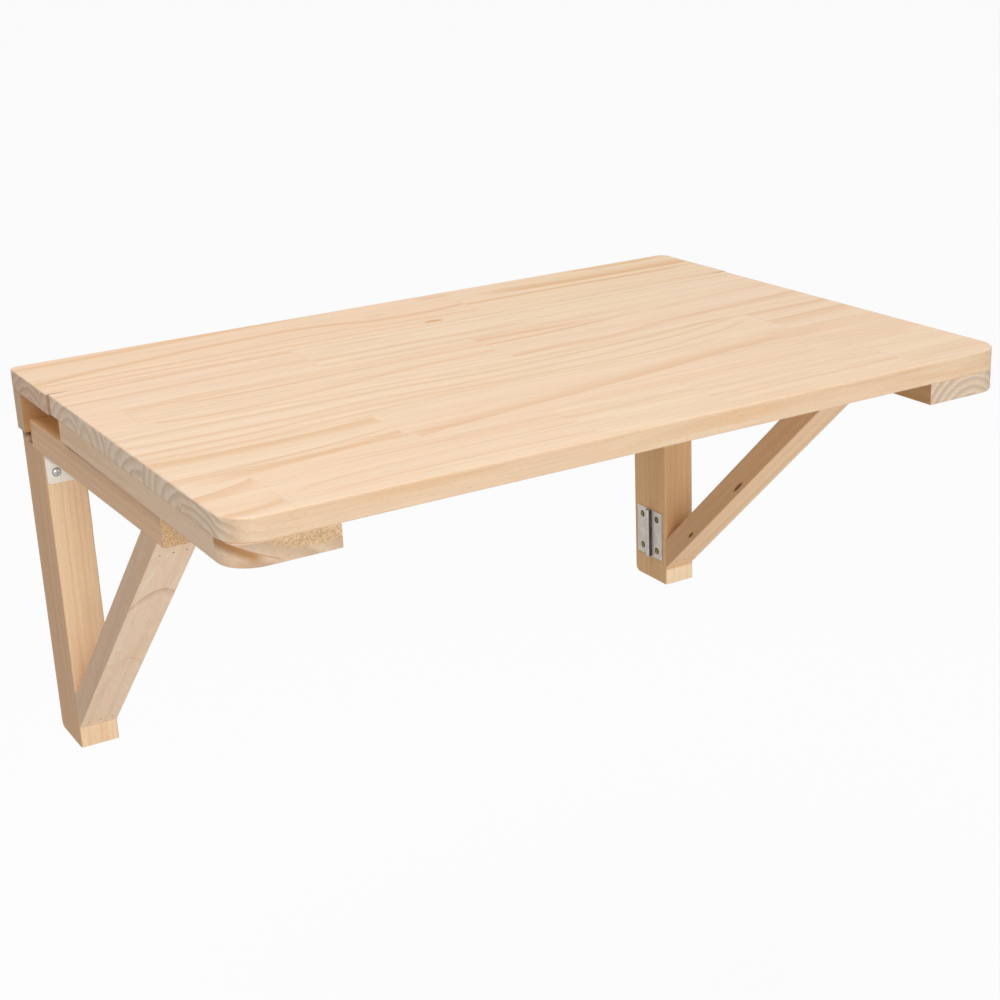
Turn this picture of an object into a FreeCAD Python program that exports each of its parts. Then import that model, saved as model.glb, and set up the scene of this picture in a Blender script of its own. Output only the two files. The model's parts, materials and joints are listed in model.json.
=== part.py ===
"""Wall mounted drop leaf table: a ledge on a wall rail, a hinged leaf and two swinging brackets.

X runs along the wall, +Y points into the wall and +Z up, in millimetres. The origin is the centre
of the wall rail's rear face, so the table stands out from the wall towards -Y.
"""
import FreeCAD, Part
import os
import re
import Sketcher
from FreeCAD import Rotation, Vector

# Driving dimensions, in millimetres. Every other size is a term worked out from these.
SIZES = {
    "leaf_length": 700.0,
    "leaf_depth": 382.8,
    "board_thickness": 18.0,
    "leaf_gap": 1.2,
    "leaf_corner_round": 26.0,
    "ledge_width": 108.0,
    "ledge_overhang": 2.0,
    "rear_corner_round": 8.0,
    "edge_round": 1.5,
    "arris_round": 1.0,
    "joint_round": 0.4,
    "post_round": 2.0,
    "rail_height": 35.0,
    "wall_stock_depth": 28.0,
    "wall_side_round": 6.0,
    "batten_width": 82.0,
    "batten_thickness": 18.0,
    "batten_setback": 19.5,
    "section_width": 36.0,
    "bracket_stock_depth": 28.0,
    "end_inset": 3.0,
    "seam_gap": 0.4,
    "arm_clearance": 0.4,
    "arm_front": 350.0,
    "arm_height": 26.0,
    "arm_tip_rise": 5.0,
    "swing_post_length": 283.0,
    "wall_post_gap": 12.0,
    "tongue_depth": 12.0,
    "brace_thickness": 24.0,
    "brace_setback": 14.0,
    "brace_foot": 19.5,
    "hinge_height": 54.0,
    "hinge_reach": 22.5,
    "hinge_plate": 1.4,
    "barrel_radius": 3.0,
    "barrel_clearance": 0.2,
    "knuckle_clearance": 0.4,
    "knuckle_gap": 0.2,
    "pin_radius": 1.5,
    "pin_clearance": 0.05,
    "hinge_screw_reach": 13.0,
    "hinge_screw_pitch": 36.0,
    "hinge_screw_head_radius": 3.7,
    "hinge_screw_dome": 1.2,
    "hinge_screw_shank_radius": 1.4,
    "hinge_screw_length": 15.0,
    "lower_hinge_height": 53.0,
    "upper_hinge_drop": 51.0,
    "leaf_hinge_inset": 120.0,
    "angle_leg": 27.0,
    "angle_thickness": 2.0,
    "angle_width": 34.0,
    "angle_corner_round": 3.0,
    "angle_screw_pitch": 17.0,
    "angle_screw_reach": 17.0,
    "angle_screw_head_radius": 4.0,
    "angle_screw_rim": 0.7,
    "angle_screw_dome": 1.5,
    "angle_screw_shank_radius": 1.7,
    "angle_screw_length": 12.0,
    "wood_screw_head_radius": 4.0,
    "wood_screw_head_height": 3.0,
    "wood_screw_shank_radius": 2.0,
    "recess_width": 1.1,
    "recess_depth": 1.5,
    "pilot_spare": 1.0,
    "batten_screw_length": 29.0,
    "batten_screw_inset": 22.0,
    "arm_screw_length": 50.0,
    "arm_screw_pitch": 17.0,
    "brad_radius": 0.7,
    "brad_length": 30.0,
    "brad_pitch": 11.0,
    "foot_brad_inset": 9.0,
    "head_brad_inset": 18.0,
    "dowel_radius": 4.0,
    "dowel_length": 26.0,
    "dowel_inset": 50.0,
    "wall_hole_radius": 2.75,
    "wall_sink_radius": 5.5,
    "wall_sink_depth": 3.0,
    "rail_hole_inset": 100.0,
    "rail_inner_hole_inset": 250.0,
    "post_hole_pitch": 160.0,
    "fit_clearance": 0.1,
}

SIDES = {"left": -1, "right": 1}
UP = (0, 0, 1)
DOWN = (0, 0, -1)
TO_WALL = (0, 1, 0)
KNUCKLES = 5
# Each screw of a row stops turned this much further than the one before it, in degrees.
SCREW_TURN = 37
# Lengths below this count as nothing, in millimetres.
TINY = 0.001
# Corners that a sketched outline starts from, before its sizes are bound.
START_SQUARE = [(0.0, 0.0), (0.0, 100.0), (-100.0, 100.0), (-100.0, 0.0)]

# Named formulas. Distances called rear, front or line are measured out from the wall.
TERMS = {
    "half_length": "leaf_length / 2",
    "ledge_length": "leaf_length + 2 * ledge_overhang",
    "ledge_under": "rail_height / 2",
    "leaf_rear": "ledge_width + leaf_gap",
    "leaf_front": "leaf_rear + leaf_depth",
    "leaf_hinge_line": "ledge_width + leaf_gap / 2",
    "batten_rear": "leaf_rear + batten_setback",
    "batten_depth": "leaf_depth - batten_setback",
    "batten_under": "ledge_under - batten_thickness",
    "batten_middle": "half_length - batten_width / 2",
    "arm_top": "batten_under - arm_clearance",
    "arm_length": "arm_front - swing_rear",
    "arm_slope": "arm_tip_rise / arm_length",
    "arm_heel": "arm_top - arm_tip_rise - arm_height",
    "arm_screw_top": "arm_heel + arm_height + arm_slope * bracket_stock_depth / 2 - fit_clearance",
    "post_top_rise": "arm_slope * bracket_stock_depth",
    "angle_top": "arm_heel + post_top_rise",
    "foot": "arm_heel - swing_post_length",
    "wall_post_top": "-rail_height / 2 - wall_post_gap",
    "wall_post_length": "wall_post_top - foot",
    "wall_post_middle": "(wall_post_top + foot) / 2",
    "swing_rear": "wall_stock_depth + seam_gap",
    "swing_front": "swing_rear + bracket_stock_depth",
    "swing_middle": "swing_rear + bracket_stock_depth / 2",
    "swing_line": "wall_stock_depth + seam_gap / 2",
    "bracket_outer": "half_length - end_inset",
    "bracket_inner": "bracket_outer - section_width",
    "bracket_middle": "bracket_outer - section_width / 2",
    "axis_offset": "barrel_radius + barrel_clearance",
    "swing_axis": "bracket_inner - axis_offset",
    "brace_run": "arm_front - brace_setback - swing_front",
    "brace_bottom": "foot + brace_foot",
    "brace_head": "angle_top + arm_slope * brace_run",
    "brace_rise": "brace_head - brace_bottom",
    "brace_slant": "sqrt(brace_run * brace_run + brace_rise * brace_rise)",
    "brace_foot_cut": "brace_thickness * brace_slant / brace_run",
    "brace_head_cut": "brace_thickness * brace_slant / (brace_rise - arm_slope * brace_run)",
    "knuckle_length": f"hinge_height / {KNUCKLES}",
    "plate_start": "barrel_radius + knuckle_clearance",
    "lower_hinge_middle": "foot + lower_hinge_height",
    "upper_hinge_middle": "arm_heel - upper_hinge_drop",
    "leaf_hinge_axis": "ledge_under - axis_offset",
    "hinge_pilot_depth": "hinge_screw_length - hinge_plate + pilot_spare",
    "hinge_pilot_radius": "hinge_screw_shank_radius + fit_clearance",
    "wood_pilot_radius": "wood_screw_shank_radius + fit_clearance",
    "angle_pilot_radius": "angle_screw_shank_radius + fit_clearance",
    "angle_pilot_depth": "angle_screw_length - angle_thickness + pilot_spare",
    "batten_screw_pitch": "(batten_depth - 3 * batten_screw_inset) / 2",
    "batten_pilot_depth": "batten_screw_length + pilot_spare",
    "arm_pilot_depth": "arm_screw_length + pilot_spare",
    "brad_bore_radius": "brad_radius + fit_clearance",
    "dowel_bore_radius": "dowel_radius + fit_clearance",
    "dowel_bore_depth": "dowel_length / 2 + fit_clearance",
    "dowel_line": "wall_stock_depth / 2",
    "dowel_pitch": "(leaf_length - 2 * dowel_inset) / 3",
    "rail_hole_spread": "half_length - rail_hole_inset",
    "rail_inner_hole_spread": "half_length - rail_inner_hole_inset",
    "leaf_hinge_spread": "half_length - leaf_hinge_inset",
}

doc = FreeCAD.newDocument("wall_drop_leaf_table")
sheet = doc.addObject("Spreadsheet::Sheet", "Sizes")
for row, (alias, value) in enumerate(SIZES.items(), start=1):
    sheet.set(f"A{row}", alias)
    sheet.set(f"B{row}", str(value))
    sheet.setAlias(f"B{row}", alias)
doc.recompute()

parts = {}


def expand(formula):
    """Sheet expression for a formula written with the names of sizes and terms."""
    def swap(match):
        name = match.group(0)
        if name in TERMS:
            return f"({expand(TERMS[name])})"
        return f"Sizes.{name}" if name in SIZES else name

    return re.sub(r"[a-z_]+", swap, formula)


def bind(thing, **formulas):
    """Bind properties to formulas. x, y and z stand for the place of the object."""
    paths = {axis: f"Placement.Base.{axis}" for axis in "xyz"}
    for name, formula in formulas.items():
        thing.setExpression(paths.get(name, name), expand(formula))


def place(thing, at, axis=UP):
    """Turn an object's own Z to an axis and bind its place."""
    thing.Placement = FreeCAD.Placement(Vector(), Rotation(Vector(*UP), Vector(*axis)))
    bind(thing, x=at[0], y=at[1], z=at[2])


def pick(feature, test):
    """Names of the edges of a feature whose box passes a test against the feature's box."""
    doc.recompute()
    whole = feature.Shape.BoundBox
    edges = enumerate(feature.Shape.Edges, start=1)
    return [f"Edge{number}" for number, edge in edges if test(edge.BoundBox, whole)]


def upright(edge, whole):
    return edge.ZLength > whole.ZLength / 2


def upright_front(edge, whole):
    return upright(edge, whole) and edge.YMax < whole.Center.y


def upright_rear(edge, whole):
    return upright(edge, whole) and edge.YMin > whole.Center.y


def level(edge, whole):
    return edge.ZLength < TINY


def on_rear(edge, whole):
    return edge.YMin > whole.YMax - TINY


def on_front(edge, whole):
    return edge.YMax < whole.YMin + TINY


def top_rim(joint):
    """Edges round the top, apart from those on the face that meets the other board."""
    return lambda edge, whole: edge.ZMin > whole.ZMax - TINY and not joint(edge, whole)


def bottom_rim(joint):
    """Edges round the bottom, apart from those on the face that meets the other board."""
    return lambda edge, whole: edge.ZMax < whole.ZMin + TINY and not joint(edge, whole)


def along_x(edge, whole):
    return edge.XLength > whole.XLength / 2


def along_y(edge, whole):
    return edge.YLength > whole.YLength / 2


def rear_below_top(edge, whole):
    return on_rear(edge, whole) and edge.ZMin < whole.ZMax - TINY


def bottom_rear(edge, whole):
    return along_x(edge, whole) and edge.ZMax < whole.Center.z and edge.YMin > whole.Center.y


def slanting(edge, whole):
    return edge.YLength > whole.YLength / 2 and edge.ZLength > whole.ZLength / 2


class Block:
    """A wooden piece cut from a block, with its place given by its lowest corner."""

    def __init__(self, label, corner, size):
        self.corner = corner
        self.body = doc.addObject("PartDesign::Body", label)
        self.body.Label = label
        self.block = self.body.newObject("PartDesign::AdditiveBox", f"{label}_block")
        bind(self.block, Length=size[0], Width=size[1], Height=size[2])
        bind(self.body, x=corner[0], y=corner[1], z=corner[2])
        self.tip = self.block
        parts[label] = self.body

    def round_over(self, test, radius):
        edges = pick(self.tip, test)
        fillet = self.body.newObject("PartDesign::Fillet", f"{self.body.Name}_round")
        fillet.Base = (self.tip, edges)
        bind(fillet, Radius=radius)
        self.tip = fillet
        return self

    def bore(self, at, axis, radius, depth):
        """Drill a hole that starts at a point of the assembly and runs along an axis."""
        drill = self.body.newObject("PartDesign::SubtractiveCylinder", f"{self.body.Name}_bore")
        self.aim(drill, at, axis)
        bind(drill, Radius=radius, Height=depth)
        self.tip = drill
        return self

    def sink(self, at, axis, mouth, end, depth):
        """Cut a cone for a screw head that narrows along an axis."""
        cone = self.body.newObject("PartDesign::SubtractiveCone", f"{self.body.Name}_sink")
        self.aim(cone, at, axis)
        bind(cone, Radius1=mouth, Radius2=end, Height=depth)
        self.tip = cone
        return self

    def aim(self, tool, at, axis):
        local = [f"({point}) - ({corner})" for point, corner in zip(at, self.corner)]
        place(tool, local, axis)

    def round_board(self, joint):
        """Round a table board's free edges, and ease the face that meets the other board."""
        self.round_over(top_rim(joint), "edge_round")
        self.round_over(bottom_rim(joint), "arris_round")
        self.round_over(joint, "joint_round")


class Profile(Block):
    """A piece padded along X from four corners in the YZ plane, measured from its lowest rear corner."""

    def __init__(self, label, corner, outline, width):
        self.corner = corner
        self.body = doc.addObject("PartDesign::Body", label)
        self.body.Label = label
        bind(self.body, x=corner[0], y=corner[1], z=corner[2])
        pad = self.body.newObject("PartDesign::Pad", f"{label}_pad")
        pad.Profile = self.sketch(label, outline)
        bind(pad, Length=width)
        self.tip = pad
        parts[label] = self.body

    def sketch(self, label, outline):
        sketch = self.body.newObject("Sketcher::SketchObject", f"{label}_outline")
        plane = [item for item in self.body.Origin.OriginFeatures if item.Role == "YZ_Plane"][0]
        sketch.AttachmentSupport = [(plane, "")]
        sketch.MapMode = "FlatFace"
        for start, end in zip(START_SQUARE, START_SQUARE[1:] + START_SQUARE[:1]):
            sketch.addGeometry(Part.LineSegment(Vector(*start, 0), Vector(*end, 0)))
        for index in range(len(START_SQUARE)):
            following = (index + 1) % len(START_SQUARE)
            sketch.addConstraint(Sketcher.Constraint("Coincident", index, 2, following, 1))
        for index, corner in enumerate(outline):
            for kind, formula, start in zip(("DistanceX", "DistanceY"), corner, START_SQUARE[index]):
                number = sketch.addConstraint(Sketcher.Constraint(kind, index, 1, start))
                sketch.setExpression(f"Constraints[{number}]", expand(formula))
        return sketch


def box(name, corner, size):
    block = doc.addObject("Part::Box", name)
    bind(block, x=corner[0], y=corner[1], z=corner[2])
    bind(block, Length=size[0], Width=size[1], Height=size[2])
    return block


def rod(name, at, axis, radius, length):
    cylinder = doc.addObject("Part::Cylinder", name)
    place(cylinder, at, axis)
    bind(cylinder, Radius=radius, Height=length)
    return cylinder


def cone(name, at, axis, mouth, end, depth):
    frustum = doc.addObject("Part::Cone", name)
    place(frustum, at, axis)
    bind(frustum, Radius1=mouth, Radius2=end, Height=depth)
    return frustum


def joined(name, shapes):
    fuse = doc.addObject("Part::MultiFuse", name)
    fuse.Shapes = shapes
    fuse.Refine = True
    return fuse


def group(label, solids):
    """One node that holds several identical fasteners as separate solids."""
    compound = doc.addObject("Part::Compound", label)
    compound.Label = label
    compound.Links = solids
    parts[label] = compound


ORIGIN = ("0", "0", "0")


def dome(name, radius, height, top):
    """A round cap that bulges towards -Z and ends at a top level."""
    ball = doc.addObject("Part::Sphere", name)
    curve = f"({radius} ^ 2 + {height} ^ 2) / (2 * {height})"
    place(ball, ("0", "0", f"{top} + {curve}"), DOWN)
    bind(ball, Radius=curve, Angle1=f"asin(1 - {height} / ({curve}))")
    return ball


def driven_screw(name, solids, head_radius, top, at, axis, number):
    """Cut a cross recess into a screw that was built along +Z on the origin, then put it in its place."""
    slots = []
    for across, along in ((head_radius, "recess_width"), ("recess_width", head_radius)):
        slots.append(box(
            f"{name}_slot", (f"-{across} / 2", f"-{along} / 2", top), (across, along, "recess_depth")))
    screw = doc.addObject("Part::Cut", name)
    screw.Base = joined(f"{name}_blank", solids)
    screw.Tool = joined(f"{name}_recess", slots)
    lean = Rotation(Vector(*UP), Vector(*axis))
    turn = Rotation(Vector(*UP), number * SCREW_TURN)
    screw.Placement = FreeCAD.Placement(Vector(), lean.multiply(turn))
    bind(screw, x=at[0], y=at[1], z=at[2])
    return screw


def hinge_screw(at, axis, number):
    """A countersunk screw with a raised head, flush with the hinge plate at its rim."""
    solids = [
        cone("hinge_screw_cone", ORIGIN, UP, "hinge_screw_head_radius", "hinge_screw_shank_radius",
             "hinge_plate"),
        dome("hinge_screw_cap", "hinge_screw_head_radius", "hinge_screw_dome", "-hinge_screw_dome"),
        rod("hinge_screw_shank", ORIGIN, UP, "hinge_screw_shank_radius", "hinge_screw_length")]
    return driven_screw(
        "hinge_screw", solids, "hinge_screw_head_radius", "-hinge_screw_dome", at, axis, number)


def wood_screw(at, axis, length, number):
    """A countersunk screw with a flat head."""
    solids = [
        cone("wood_screw_cone", ORIGIN, UP, "wood_screw_head_radius", "wood_screw_shank_radius",
             "wood_screw_head_height"),
        rod("wood_screw_shank", ORIGIN, UP, "wood_screw_shank_radius", length)]
    return driven_screw("wood_screw", solids, "wood_screw_head_radius", "0", at, axis, number)


def angle_screw(at, axis, number):
    """A screw with a low rounded head that sits on the corner angle."""
    top = "-(angle_screw_rim + angle_screw_dome)"
    solids = [
        rod("angle_screw_rim", ORIGIN, DOWN, "angle_screw_head_radius", "angle_screw_rim"),
        dome("angle_screw_cap", "angle_screw_head_radius", "angle_screw_dome", top),
        rod("angle_screw_shank", ORIGIN, UP, "angle_screw_shank_radius", "angle_screw_length")]
    return driven_screw("angle_screw", solids, "angle_screw_head_radius", top, at, axis, number)


def hinge_plate(label, moving, at, turn):
    """Half of a butt hinge. Its own frame has the pin on Z and the wood at +X; the fixed half is at +Y."""
    side = -1 if moving else 1
    start = "-hinge_reach" if moving else "plate_start"
    web_start = "-plate_start - hinge_plate" if moving else "0"
    inside = "axis_offset - hinge_plate"
    solids = [box(
        f"{label}_flat", (inside, start, "-hinge_height / 2"),
        ("hinge_plate", "hinge_reach - plate_start", "hinge_height"))]
    for index in range(1 if moving else 0, KNUCKLES, 2):
        low = f"-hinge_height / 2 + {index} * knuckle_length + knuckle_gap / 2"
        tall = "knuckle_length - knuckle_gap"
        solids.append(box(
            f"{label}_web", (inside, web_start, low), ("hinge_plate", "plate_start + hinge_plate", tall)))
        solids.append(rod(f"{label}_knuckle", ("0", "0", low), UP, "barrel_radius", tall))
    cuts = [rod(
        f"{label}_pin_bore", ("0", "0", "-hinge_height"), UP,
        "pin_radius + pin_clearance", "2 * hinge_height")]
    for end in (-1, 1):
        cuts.append(cone(
            f"{label}_sink", (inside, f"{side} * hinge_screw_reach", f"{end} * hinge_screw_pitch / 2"),
            (1, 0, 0), "hinge_screw_head_radius + fit_clearance",
            "hinge_screw_shank_radius + fit_clearance", "hinge_plate"))
    plate = doc.addObject("Part::Cut", label)
    plate.Label = label
    plate.Base = joined(f"{label}_blank", solids)
    plate.Tool = joined(f"{label}_cuts", cuts)
    plate.Placement = FreeCAD.Placement(Vector(), turn)
    bind(plate, x=at[0], y=at[1], z=at[2])
    parts[label] = plate


def hinge_pin(label, at, axis):
    """A plain pin as long as the hinge, laid from one end of the barrel."""
    pin = rod(label, at, axis, "pin_radius", "hinge_height")
    pin.Label = label
    parts[label] = pin


def out(distance):
    """The Y of a distance measured out from the wall."""
    return f"-({distance})"


def make_wall_rail():
    rail = Block(
        "wall_rail", ("-ledge_length / 2", "-wall_stock_depth", "-rail_height / 2"),
        ("ledge_length", "wall_stock_depth", "rail_height"))
    rail.round_over(rear_below_top, "rear_corner_round")
    for spread in ("rail_hole_spread", "rail_inner_hole_spread"):
        for side in SIDES.values():
            front = (f"{side} * {spread}", "-wall_stock_depth", "0")
            rail.bore(front, TO_WALL, "wall_hole_radius", "wall_stock_depth")
            rail.sink(front, TO_WALL, "wall_sink_radius", "wall_hole_radius", "wall_sink_depth")
    for x in dowel_places():
        rail.bore((x, out("dowel_line"), "ledge_under"), DOWN, "dowel_bore_radius", "dowel_bore_depth")


def dowel_places():
    """Four dowels, three equal steps apart, about the middle of the rail."""
    return [f"{step} * dowel_pitch" for step in (-1.5, -0.5, 0.5, 1.5)]


def make_ledge():
    ledge = Block(
        "rear_ledge", ("-ledge_length / 2", "-ledge_width", "ledge_under"),
        ("ledge_length", "ledge_width", "board_thickness"))
    ledge.round_over(upright_rear, "rear_corner_round").round_board(on_front)
    for x in dowel_places():
        ledge.bore((x, out("dowel_line"), "ledge_under"), UP, "dowel_bore_radius", "dowel_bore_depth")
    for x in leaf_hinge_screw_places():
        ledge.bore(
            (x, out("leaf_hinge_line - hinge_screw_reach"), "ledge_under"), UP,
            "hinge_pilot_radius", "hinge_pilot_depth")
    dowels = []
    for x in dowel_places():
        dowels.append(rod(
            "dowel", (x, out("dowel_line"), "ledge_under - dowel_length / 2"), UP,
            "dowel_radius", "dowel_length"))
    group("ledge_dowels", dowels)


LEAF_HINGES = {"left": "-leaf_hinge_spread", "middle": "0", "right": "leaf_hinge_spread"}


def leaf_hinge_screw_places():
    ends = ("- hinge_screw_pitch / 2", "+ hinge_screw_pitch / 2")
    return [f"{x} {end}" for x in LEAF_HINGES.values() for end in ends]


def make_leaf_hinges():
    turn = Rotation(Vector(0, 1, 0), -90)
    for name, x in LEAF_HINGES.items():
        at = (x, out("leaf_hinge_line"), "leaf_hinge_axis")
        hinge_plate(f"{name}_leaf_hinge_fixed_plate", False, at, turn)
        hinge_plate(f"{name}_leaf_hinge_moving_plate", True, at, turn)
        hinge_pin(f"{name}_leaf_hinge_pin", (f"{x} - hinge_height / 2", at[1], at[2]), (1, 0, 0))
    for kind, side in (("fixed", "-"), ("moving", "+")):
        screws = []
        for number, x in enumerate(leaf_hinge_screw_places()):
            at = (x, out(f"leaf_hinge_line {side} hinge_screw_reach"), "ledge_under - hinge_plate")
            screws.append(hinge_screw(at, UP, number))
        group(f"leaf_hinge_{kind}_screws", screws)


def batten_screw_places(side):
    """Two rows of three screws up through a batten into the leaf."""
    places = []
    for across in ("- batten_width / 2 + batten_screw_inset", "+ batten_width / 2 - batten_screw_inset"):
        for step in (0, 1, 2):
            along = f"batten_rear + batten_screw_inset + {step} * batten_screw_pitch"
            places.append((f"{side} * (batten_middle {across})", out(along), "batten_under"))
    return places


def make_leaf():
    leaf = Block(
        "leaf_panel", ("-half_length", out("leaf_front"), "ledge_under"),
        ("leaf_length", "leaf_depth", "board_thickness"))
    leaf.round_over(upright_front, "leaf_corner_round").round_board(on_rear)
    for x in leaf_hinge_screw_places():
        leaf.bore(
            (x, out("leaf_hinge_line + hinge_screw_reach"), "ledge_under"), UP,
            "hinge_pilot_radius", "hinge_pilot_depth")
    screws = []
    for side in SIDES.values():
        for number, at in enumerate(batten_screw_places(side)):
            leaf.bore(at, UP, "wood_pilot_radius", "batten_pilot_depth")
            screws.append(wood_screw(at, UP, "batten_screw_length", number))
    group("batten_screws", screws)


def make_batten(name, side):
    low = "-half_length" if side < 0 else "half_length - batten_width"

    def outer_front(edge, whole):
        return upright_front(edge, whole) and side * (edge.Center.x - whole.Center.x) > 0

    batten = Block(
        f"{name}_end_batten", (low, out("leaf_front"), "batten_under"),
        ("batten_width", "batten_depth", "batten_thickness"))
    batten.round_over(outer_front, "leaf_corner_round").round_over(level, "arris_round")
    for at in batten_screw_places(side):
        batten.bore(at, UP, "wood_pilot_radius", "batten_pilot_depth")
        batten.sink(
            at, UP, "wood_screw_head_radius + fit_clearance", "wood_pilot_radius", "wood_screw_head_height")


def hinge_middles():
    return {"upper": "upper_hinge_middle", "lower": "lower_hinge_middle"}


def bracket_hinge_screw_places(side, reach):
    """Where the hinge screws enter the inner face of a post, at a distance from the hinge line."""
    places = []
    for middle in hinge_middles().values():
        for end in ("- hinge_screw_pitch / 2", "+ hinge_screw_pitch / 2"):
            places.append((f"{side} * bracket_inner", out(f"swing_line {reach}"), f"{middle} {end}"))
    return places


def bracket_low(side):
    """The lowest X of a bracket's section."""
    return "-bracket_outer" if side < 0 else "bracket_inner"


def make_wall_post(name, side):
    """A post with a thin tongue at its rear that reaches up to the rail."""
    label = f"{name}_wall_post"
    post = Block(
        label, (bracket_low(side), "-wall_stock_depth", "foot"),
        ("section_width", "wall_stock_depth", "wall_post_length"))
    post.round_over(bottom_rear, "wall_side_round")
    tongue = post.body.newObject("PartDesign::AdditiveBox", f"{label}_tongue")
    post.aim(tongue, (bracket_low(side), "-tongue_depth", "wall_post_top"), UP)
    bind(tongue, Length="section_width", Width="tongue_depth", Height="wall_post_gap")
    post.tip = tongue
    for end in (-1, 1):
        front = (
            f"{side} * bracket_middle", "-wall_stock_depth",
            f"wall_post_middle + {end} * post_hole_pitch / 2")
        post.bore(front, TO_WALL, "wall_hole_radius", "wall_stock_depth")
        post.sink(front, TO_WALL, "wall_sink_radius", "wall_hole_radius", "wall_sink_depth")
    for at in bracket_hinge_screw_places(side, "- hinge_screw_reach"):
        post.bore(at, (side, 0, 0), "hinge_pilot_radius", "hinge_pilot_depth")


def arm_screw_places(side):
    return [
        (f"{side} * (bracket_middle + {end} * arm_screw_pitch / 2)", out("swing_middle"), "arm_screw_top")
        for end in (-1, 1)]


def brad_columns(side):
    return [f"{side} * (bracket_middle + {step} * brad_pitch)" for step in (-1, 0, 1)]


def foot_brad_start(side):
    """Brads driven level through the sloping face at the brace's foot into the post."""
    height = "brace_bottom + foot_brad_inset"
    reach = "swing_front + foot_brad_inset * brace_run / brace_rise"
    return [(x, out(reach), height) for x in brad_columns(side)]


def head_brad_start(side):
    """Brads driven straight up through the sloping face at the brace's head into the arm."""
    reach = "swing_front + brace_run - head_brad_inset"
    height = "brace_head - head_brad_inset * brace_rise / brace_run"
    return [(x, out(reach), height) for x in brad_columns(side)]


def brad_holes(piece, side, at_foot=True, at_head=True):
    starts = []
    if at_foot:
        starts += [(at, TO_WALL) for at in foot_brad_start(side)]
    if at_head:
        starts += [(at, UP) for at in head_brad_start(side)]
    for at, axis in starts:
        piece.bore(at, axis, "brad_bore_radius", "brad_length + fit_clearance")


def make_swing_post(name, side):
    post = Profile(f"{name}_swing_post", (bracket_low(side), out("swing_rear"), "foot"), [
        ("0", "0"), ("0", "swing_post_length"),
        ("-bracket_stock_depth", "swing_post_length + post_top_rise"),
        ("-bracket_stock_depth", "0")], "section_width")
    post.round_over(upright_front, "post_round")
    for at in bracket_hinge_screw_places(side, "+ hinge_screw_reach"):
        post.bore(at, (side, 0, 0), "hinge_pilot_radius", "hinge_pilot_depth")
    for at in arm_screw_places(side):
        post.bore(at, DOWN, "wood_pilot_radius", "arm_pilot_depth")
    for x, y, z in angle_screw_places(side)[:2]:
        post.bore((x, out("swing_front"), z), TO_WALL, "angle_pilot_radius", "angle_pilot_depth")
    brad_holes(post, side, at_head=False)


def make_arm(name, side):
    arm = Profile(f"{name}_arm", (bracket_low(side), out("swing_rear"), "arm_heel"), [
        ("0", "0"), ("0", "arm_height"),
        ("-arm_length", "arm_height + arm_tip_rise"), ("-arm_length", "arm_tip_rise")], "section_width")
    arm.round_over(along_y, "arris_round")
    for at in arm_screw_places(side):
        arm.bore(at, DOWN, "wood_pilot_radius", "arm_pilot_depth")
        arm.sink(
            at, DOWN, "wood_screw_head_radius + fit_clearance",
            "wood_pilot_radius", "wood_screw_head_height")
    for x, y, z in angle_screw_places(side)[2:]:
        arm.bore((x, y, "angle_top"), UP, "angle_pilot_radius", "angle_pilot_depth")
    brad_holes(arm, side, at_foot=False)
    screws = []
    for number, at in enumerate(arm_screw_places(side)):
        screws.append(wood_screw(at, DOWN, "arm_screw_length", number))
    group(f"{name}_arm_screws", screws)


def make_brace(name, side):
    """The diagonal, cut upright at the post and to the arm's slope at its head."""
    brace = Profile(f"{name}_brace", (bracket_low(side), out("swing_front"), "brace_bottom"), [
        ("0", "0"), ("0", "brace_foot_cut"),
        ("-(brace_run - brace_head_cut)", "brace_rise - arm_slope * brace_head_cut"),
        ("-brace_run", "brace_rise")], "section_width")
    brace.round_over(slanting, "arris_round")
    brad_holes(brace, side)
    brads = [rod("foot_brad", at, TO_WALL, "brad_radius", "brad_length") for at in foot_brad_start(side)]
    brads += [rod("head_brad", at, UP, "brad_radius", "brad_length") for at in head_brad_start(side)]
    group(f"{name}_brace_brads", brads)


def angle_screw_places(side):
    """Heads of the two screws into the post, then of the two into the arm."""
    columns = [f"{side} * (bracket_middle + {end} * angle_screw_pitch / 2)" for end in (1, -1)]
    post_face = out("swing_front + angle_thickness")
    arm_face = "angle_top - angle_thickness"
    places = [(x, post_face, "angle_top - angle_screw_reach") for x in columns]
    places += [(x, out("swing_front + angle_screw_reach"), arm_face) for x in columns]
    return places


def make_corner_angle(name, side):
    label = f"{name}_corner_angle"
    low = f"{side} * bracket_middle - angle_width / 2"
    angle = Block(
        label, (low, out("swing_front + angle_thickness"), "angle_top - angle_leg"),
        ("angle_width", "angle_thickness", "angle_leg"))
    leg = angle.body.newObject("PartDesign::AdditiveBox", f"{label}_leg")
    angle.aim(leg, (low, out("swing_front + angle_leg"), "angle_top - angle_thickness"), UP)
    bind(leg, Length="angle_width", Width="angle_leg", Height="angle_thickness")
    angle.tip = leg

    def free_corner(edge, whole):
        at_post = edge.ZMax < whole.ZMin + TINY and edge.XLength < TINY
        at_arm = edge.YMax < whole.YMin + TINY and edge.XLength < TINY
        return at_post or at_arm

    angle.round_over(free_corner, "angle_corner_round")
    screws = []
    for number, at in enumerate(angle_screw_places(side)):
        axis = TO_WALL if number < 2 else UP
        angle.bore(at, axis, "angle_pilot_radius", "angle_thickness")
        screws.append(angle_screw(at, axis, number))
    group(f"{name}_corner_angle_screws", screws)


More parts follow.
